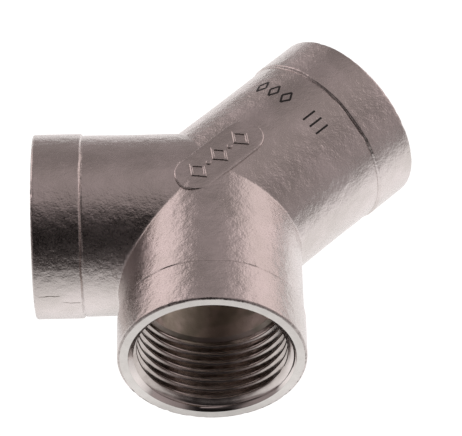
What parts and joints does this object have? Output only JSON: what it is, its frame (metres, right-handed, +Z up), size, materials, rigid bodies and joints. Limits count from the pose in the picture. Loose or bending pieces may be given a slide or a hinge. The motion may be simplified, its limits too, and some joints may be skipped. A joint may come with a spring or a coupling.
{
  "type": "threaded pipe y fitting",
  "caption": "Cast stainless steel Y pipe fitting: round female-threaded collared ports, a right angle between the arms and 135 degrees from the stem to each arm.",
  "frame": {"origin": "where the three port axes cross, which is also the centre of mass to within half a millimetre", "axes": "all three port axes lie in the XY plane; the arms point along -X and -Y and the stem along (+1, +1, 0); +Z is up, normal to that plane, with the raised panel on top"},
  "size_m": [0.0793, 0.0793, 0.0384],
  "materials": {
    "cast_stainless": "satin"
  },
  "bodies": {
    "root": {"y_fitting_body": "cast_stainless"}
  },
  "joints": []
}
